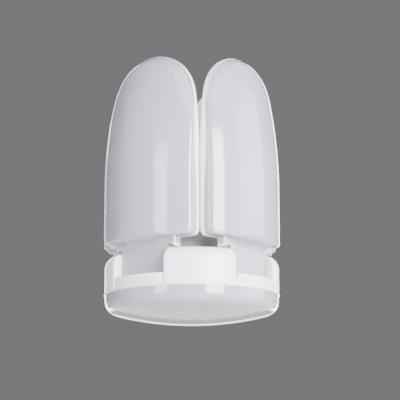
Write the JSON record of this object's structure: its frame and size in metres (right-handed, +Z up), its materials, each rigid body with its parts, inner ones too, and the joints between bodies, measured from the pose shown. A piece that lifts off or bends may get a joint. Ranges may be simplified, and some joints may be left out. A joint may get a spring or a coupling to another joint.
{
  "type": "folding ceiling lamp",
  "caption": "Screw-in garage ceiling lamp: four hinged light blades fold up round the cap or open flat round a hub with a domed lens.",
  "frame": {"origin": "on the lamp's axis, in the middle of the screw cap's smooth skirt", "axes": "+Z up along the axis, from the lens to the cap's contact; blade 1 faces -Y, blade 2 +X, blade 3 +Y, blade 4 -X"},
  "size_m": [0.0974, 0.0974, 0.1439],
  "materials": {
    "white_shell": "moulded white plastic, satin gloss",
    "white_frame": "moulded white plastic, satin gloss",
    "white_neck": "moulded white plastic, satin",
    "blade_diffuser": "milky polycarbonate, glossy",
    "lens_diffuser": "milky polycarbonate, glossy",
    "light_board": "white solder mask on aluminium",
    "emitter": "yellow phosphor",
    "steel_screw": "zinc plated",
    "steel_bush": "turned",
    "washer": "fibre friction washer",
    "lead_white": "silicone insulation",
    "lead_black": "insulation",
    "lead_red": "insulation",
    "driver_board": "green circuit board",
    "capacitor": "sleeved can",
    "transformer": "taped winding on ferrite",
    "nickel": "nickel plated",
    "black_insulator": "black vitrite",
    "contact_metal": "tinned brass"
  },
  "bodies": {
    "hub": {"hub_frame": "white_frame", "hinge_cover_1": "white_shell", "hinge_cover_2": "white_shell", "hinge_cover_3": "white_shell", "hinge_cover_4": "white_shell", "neck_housing": "white_neck", "center_lens": "lens_diffuser", "center_board": "light_board", "center_leds": "emitter", "deck_screws": "steel_screw", "center_board_screws": "steel_screw", "driver_board": "driver_board", "capacitor": "capacitor", "transformer": "transformer", "e27_shell": "nickel", "e27_insulator": "black_insulator", "e27_contact": "contact_metal", "pivot_bush_1": "steel_bush", "pivot_bush_2": "steel_bush", "pivot_bush_3": "steel_bush", "pivot_bush_4": "steel_bush", "hub_lead_1": "lead_white", "hub_lead_2": "lead_white", "hub_lead_3": "lead_white", "hub_lead_4": "lead_white", "contact_lead": "lead_black", "shell_lead": "lead_black", "center_lead": "lead_red"},
    "blade_1": {"blade_housing_1": "white_shell", "blade_diffuser_1": "blade_diffuser", "blade_board_1": "light_board", "blade_leds_1": "emitter", "board_screws_1": "steel_screw", "pivot_screw_1": "steel_screw", "friction_washers_1": "washer", "blade_lead_1": "lead_white"},
    "blade_2": {"blade_housing_2": "white_shell", "blade_diffuser_2": "blade_diffuser", "blade_board_2": "light_board", "blade_leds_2": "emitter", "board_screws_2": "steel_screw", "pivot_screw_2": "steel_screw", "friction_washers_2": "washer", "blade_lead_2": "lead_white"},
    "blade_3": {"blade_housing_3": "white_shell", "blade_diffuser_3": "blade_diffuser", "blade_board_3": "light_board", "blade_leds_3": "emitter", "board_screws_3": "steel_screw", "pivot_screw_3": "steel_screw", "friction_washers_3": "washer", "blade_lead_3": "lead_white"},
    "blade_4": {"blade_housing_4": "white_shell", "blade_diffuser_4": "blade_diffuser", "blade_board_4": "light_board", "blade_leds_4": "emitter", "board_screws_4": "steel_screw", "pivot_screw_4": "steel_screw", "friction_washers_4": "washer", "blade_lead_4": "lead_white"}
  },
  "joints": [
    {"name": "blade_1_hinge", "type": "hinge", "parent": "hub", "child": "blade_1", "pos_m": [0, -0.0366, -0.04], "axis": [1, 0, 0], "range_deg": [0, 90]},
    {"name": "blade_2_hinge", "type": "hinge", "parent": "hub", "child": "blade_2", "pos_m": [0.0366, 0, -0.04], "axis": [0, 1, 0], "range_deg": [0, 90]},
    {"name": "blade_3_hinge", "type": "hinge", "parent": "hub", "child": "blade_3", "pos_m": [0, 0.0366, -0.04], "axis": [-1, 0, 0], "range_deg": [0, 90]},
    {"name": "blade_4_hinge", "type": "hinge", "parent": "hub", "child": "blade_4", "pos_m": [-0.0366, 0, -0.04], "axis": [0, -1, 0], "range_deg": [0, 90]}
  ]
}
